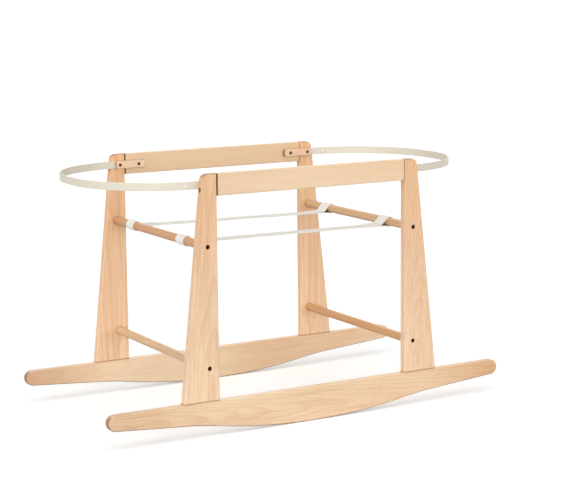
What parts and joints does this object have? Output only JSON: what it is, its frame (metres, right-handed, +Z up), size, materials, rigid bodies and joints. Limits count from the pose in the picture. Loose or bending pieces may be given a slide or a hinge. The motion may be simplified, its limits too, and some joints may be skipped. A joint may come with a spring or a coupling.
{
  "type": "moses basket stand",
  "caption": "Rocking wooden stand for a baby's moses basket: end frames on curved rockers, round cross bars, webbing straps and a bent band that keeps the basket in place.",
  "frame": {"origin": "on the floor, under the middle of the stand", "axes": "+X to the right along the rockers, +Y from the front frame to the rear frame, +Z up"},
  "size_m": [0.878, 0.427, 0.4999],
  "materials": {
    "board_wood": "pale hardwood boards, sanded, clear satin lacquer",
    "bar_wood": "turned hardwood bars, a little darker, clear satin lacquer",
    "pin_wood": "plain hardwood locating pins, unseen",
    "hoop_plastic": "cream plastic strip, matt",
    "webbing": "cream cotton webbing, plain weave, sewn ends",
    "dark_steel": "dark bronze coated bolts and screws",
    "zinc_steel": "zinc-plated threaded inserts, unseen"
  },
  "bodies": {
    "stand": {"front_rocker": "board_wood", "rear_rocker": "board_wood", "front_left_leg": "board_wood", "front_right_leg": "board_wood", "rear_left_leg": "board_wood", "rear_right_leg": "board_wood", "front_top_rail": "board_wood", "rear_top_rail": "board_wood", "front_left_batten": "board_wood", "front_right_batten": "board_wood", "rear_left_batten": "board_wood", "rear_right_batten": "board_wood", "upper_left_bar": "bar_wood", "upper_right_bar": "bar_wood", "lower_left_bar": "bar_wood", "lower_right_bar": "bar_wood", "leg_pins": "pin_wood", "rail_pins": "pin_wood", "left_hoop_band": "hoop_plastic", "right_hoop_band": "hoop_plastic", "upper_bar_bolts": "dark_steel", "lower_bar_bolts": "dark_steel", "rail_bolts": "dark_steel", "front_batten_screws": "dark_steel", "rear_batten_screws": "dark_steel", "upper_bar_inserts": "zinc_steel", "lower_bar_inserts": "zinc_steel", "rail_inserts": "zinc_steel"},
    "front_strap": {"front_strap": "webbing"},
    "rear_strap": {"rear_strap": "webbing"}
  },
  "joints": [
    {"name": "front_strap_slide", "type": "slide", "parent": "stand", "child": "front_strap", "axis": [0, 1, 0], "range_m": [-0.068, 0.0945]},
    {"name": "rear_strap_slide", "type": "slide", "parent": "stand", "child": "rear_strap", "axis": [0, 1, 0], "range_m": [-0.0965, 0.066]}
  ]
}
